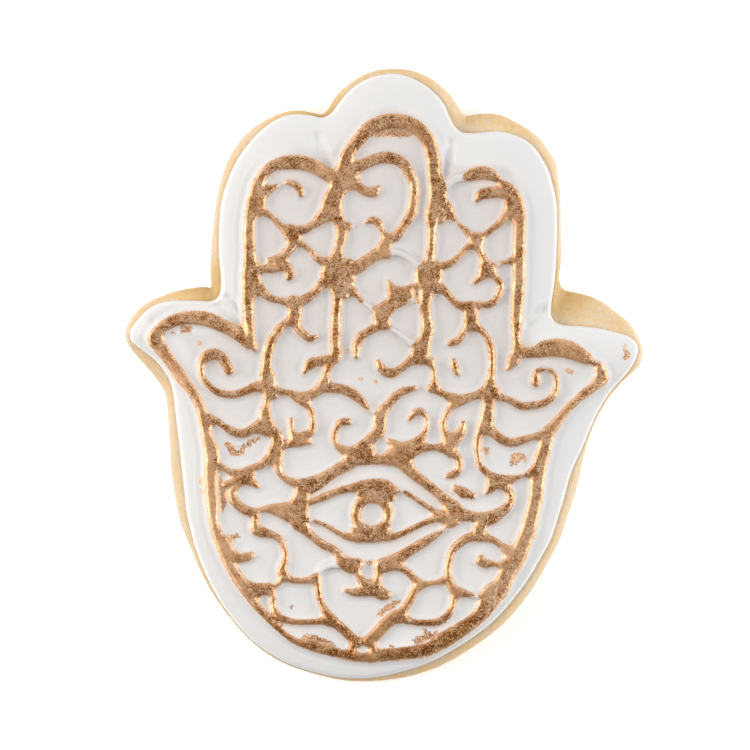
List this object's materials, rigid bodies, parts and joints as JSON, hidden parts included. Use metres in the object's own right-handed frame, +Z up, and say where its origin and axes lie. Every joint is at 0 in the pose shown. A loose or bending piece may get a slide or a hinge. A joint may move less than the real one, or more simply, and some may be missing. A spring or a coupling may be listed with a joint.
{
  "type": "iced butter cookie",
  "caption": "Hand-shaped rolled butter biscuit with one icing layer, stamped with a raised filigree of scrolls, hearts and an eye, its ridges brushed copper gold.",
  "frame": {"origin": "centre of the underside's bounding box, on the surface that the cookie lies on", "axes": "+Z up through the icing, +Y along the fingers, +X towards the thumb on the right as seen from above"},
  "size_m": [0.0843, 0.1, 0.01],
  "materials": {
    "biscuit": "dry baked crumb, matte",
    "icing": "set sugar icing, soft sheen, ridge tops dry-brushed with copper-gold lustre"
  },
  "bodies": {
    "root": {"biscuit": "biscuit", "icing": "icing"}
  },
  "joints": []
}
